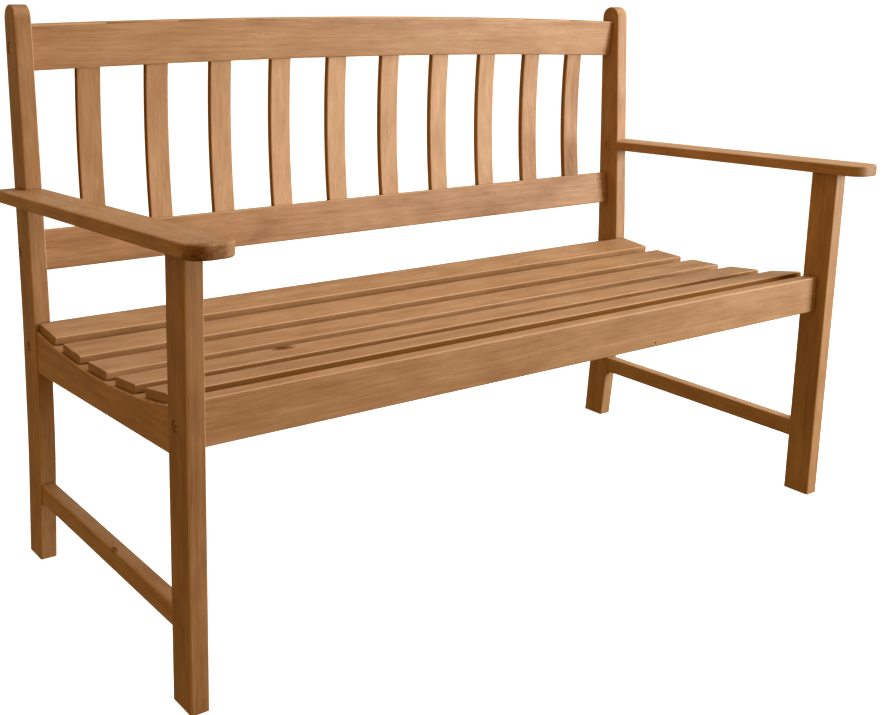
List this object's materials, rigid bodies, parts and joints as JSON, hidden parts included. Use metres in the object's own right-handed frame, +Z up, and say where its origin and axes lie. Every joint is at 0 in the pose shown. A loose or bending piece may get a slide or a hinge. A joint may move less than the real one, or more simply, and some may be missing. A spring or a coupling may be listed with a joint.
{
  "type": "garden bench",
  "caption": "Slatted hardwood garden bench with a dished seat, a hollow slatted back under an arched top rail, flat splayed armrests and bolted end frames.",
  "frame": {"origin": "on the floor under the middle of the bench", "axes": "+X along the bench to the right of someone looking at its front, +Y from front to back, +Z up"},
  "size_m": [1.3886, 0.6494, 0.892],
  "materials": {
    "oiled_hardwood": "sanded and oiled, satin",
    "dowel_wood": "plain turned dowel",
    "zinc_plated_steel": "yellow passivated zinc"
  },
  "bodies": {
    "root": {"arm_bolts": "zinc_plated_steel", "arm_dowels": "dowel_wood", "armrest_left": "oiled_hardwood", "armrest_right": "oiled_hardwood", "back_bottom_rail": "oiled_hardwood", "back_slat_01": "oiled_hardwood", "back_slat_02": "oiled_hardwood", "back_slat_03": "oiled_hardwood", "back_slat_04": "oiled_hardwood", "back_slat_05": "oiled_hardwood", "back_slat_06": "oiled_hardwood", "back_slat_07": "oiled_hardwood", "back_slat_08": "oiled_hardwood", "back_slat_09": "oiled_hardwood", "back_slat_10": "oiled_hardwood", "back_top_rail": "oiled_hardwood", "cross_dowel_nuts": "zinc_plated_steel", "frame_bolts": "zinc_plated_steel", "front_apron": "oiled_hardwood", "front_leg_left": "oiled_hardwood", "front_leg_right": "oiled_hardwood", "rail_dowels": "dowel_wood", "rear_leg_left": "oiled_hardwood", "rear_leg_right": "oiled_hardwood", "rear_seat_rail": "oiled_hardwood", "seat_bearer": "oiled_hardwood", "seat_pegs": "dowel_wood", "seat_screws": "zinc_plated_steel", "seat_slat_1": "oiled_hardwood", "seat_slat_2": "oiled_hardwood", "seat_slat_3": "oiled_hardwood", "seat_slat_4": "oiled_hardwood", "seat_slat_5": "oiled_hardwood", "side_rail_left": "oiled_hardwood", "side_rail_right": "oiled_hardwood", "side_stretcher_left": "oiled_hardwood", "side_stretcher_right": "oiled_hardwood"}
  },
  "joints": []
}
